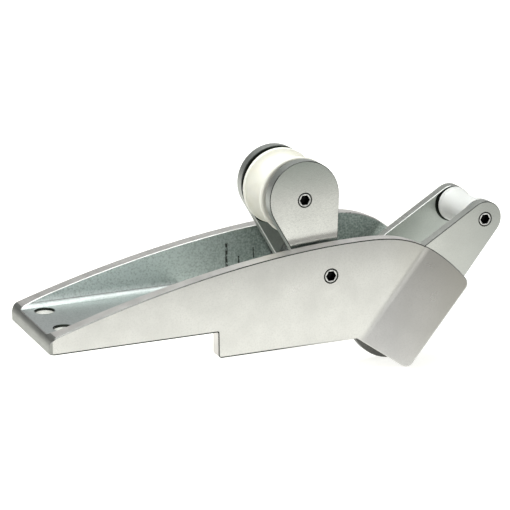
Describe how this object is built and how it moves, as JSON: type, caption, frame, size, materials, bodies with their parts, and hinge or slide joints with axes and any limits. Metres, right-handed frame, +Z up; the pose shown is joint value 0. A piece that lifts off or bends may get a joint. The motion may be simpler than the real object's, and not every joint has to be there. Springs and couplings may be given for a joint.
{
  "type": "hinged bow roller",
  "caption": "Hinged self-launching bow roller: open channel with flared cheeks, pivoting rocker plates, a grooved chain roller and a small front roller.",
  "frame": {"origin": "on the channel's underside, which sits on the deck, midway between the two deck bolts", "axes": "+X forward over the bow, +Y to port, +Z up"},
  "size_m": [0.2587, 0.0934, 0.1131],
  "materials": {
    "channel_alloy": "satin, tumbled, warm light grey",
    "rocker_alloy": "satin, tumbled, slightly cooler than the channel",
    "axle_steel": "turned stainless, fine rings on the end faces",
    "hidden_steel": "turned stainless",
    "dark_acetal": "dull black bearing plastic",
    "ivory_nylon": "turned cast nylon, soft sheen",
    "white_nylon": "turned cast nylon, soft sheen"
  },
  "bodies": {
    "base": {"base_channel": "channel_alloy", "pivot_barrel": "axle_steel", "pivot_screw": "axle_steel", "pivot_washer_port": "dark_acetal", "pivot_washer_starboard": "dark_acetal"},
    "rocker": {"rocker_plate_port": "rocker_alloy", "rocker_plate_starboard": "rocker_alloy", "pivot_bush_port": "dark_acetal", "pivot_bush_starboard": "dark_acetal", "pivot_spacer": "hidden_steel", "large_axle_barrel": "axle_steel", "large_axle_screw": "axle_steel", "large_axle_washer_port": "hidden_steel", "large_axle_washer_starboard": "hidden_steel", "small_axle_barrel": "axle_steel", "small_axle_screw": "axle_steel", "small_axle_washer_port": "hidden_steel", "small_axle_washer_starboard": "hidden_steel"},
    "large_sheave": {"large_roller": "ivory_nylon", "large_roller_bush": "dark_acetal"},
    "small_sheave": {"small_roller": "white_nylon", "small_roller_bush": "dark_acetal"}
  },
  "joints": [
    {"name": "rocker_tip", "type": "hinge", "parent": "base", "child": "rocker", "pos_m": [0.1402, 0, 0.0222], "axis": [0, 1, 0], "range_deg": [-60, 105]},
    {"name": "large_roller_spin", "type": "hinge", "parent": "rocker", "child": "large_sheave", "pos_m": [0.1304, 0, 0.0612], "axis": [0, 1, 0], "continuous": true},
    {"name": "small_roller_spin", "type": "hinge", "parent": "rocker", "child": "small_sheave", "pos_m": [0.236, 0, 0.0388], "axis": [0, 1, 0], "continuous": true}
  ]
}
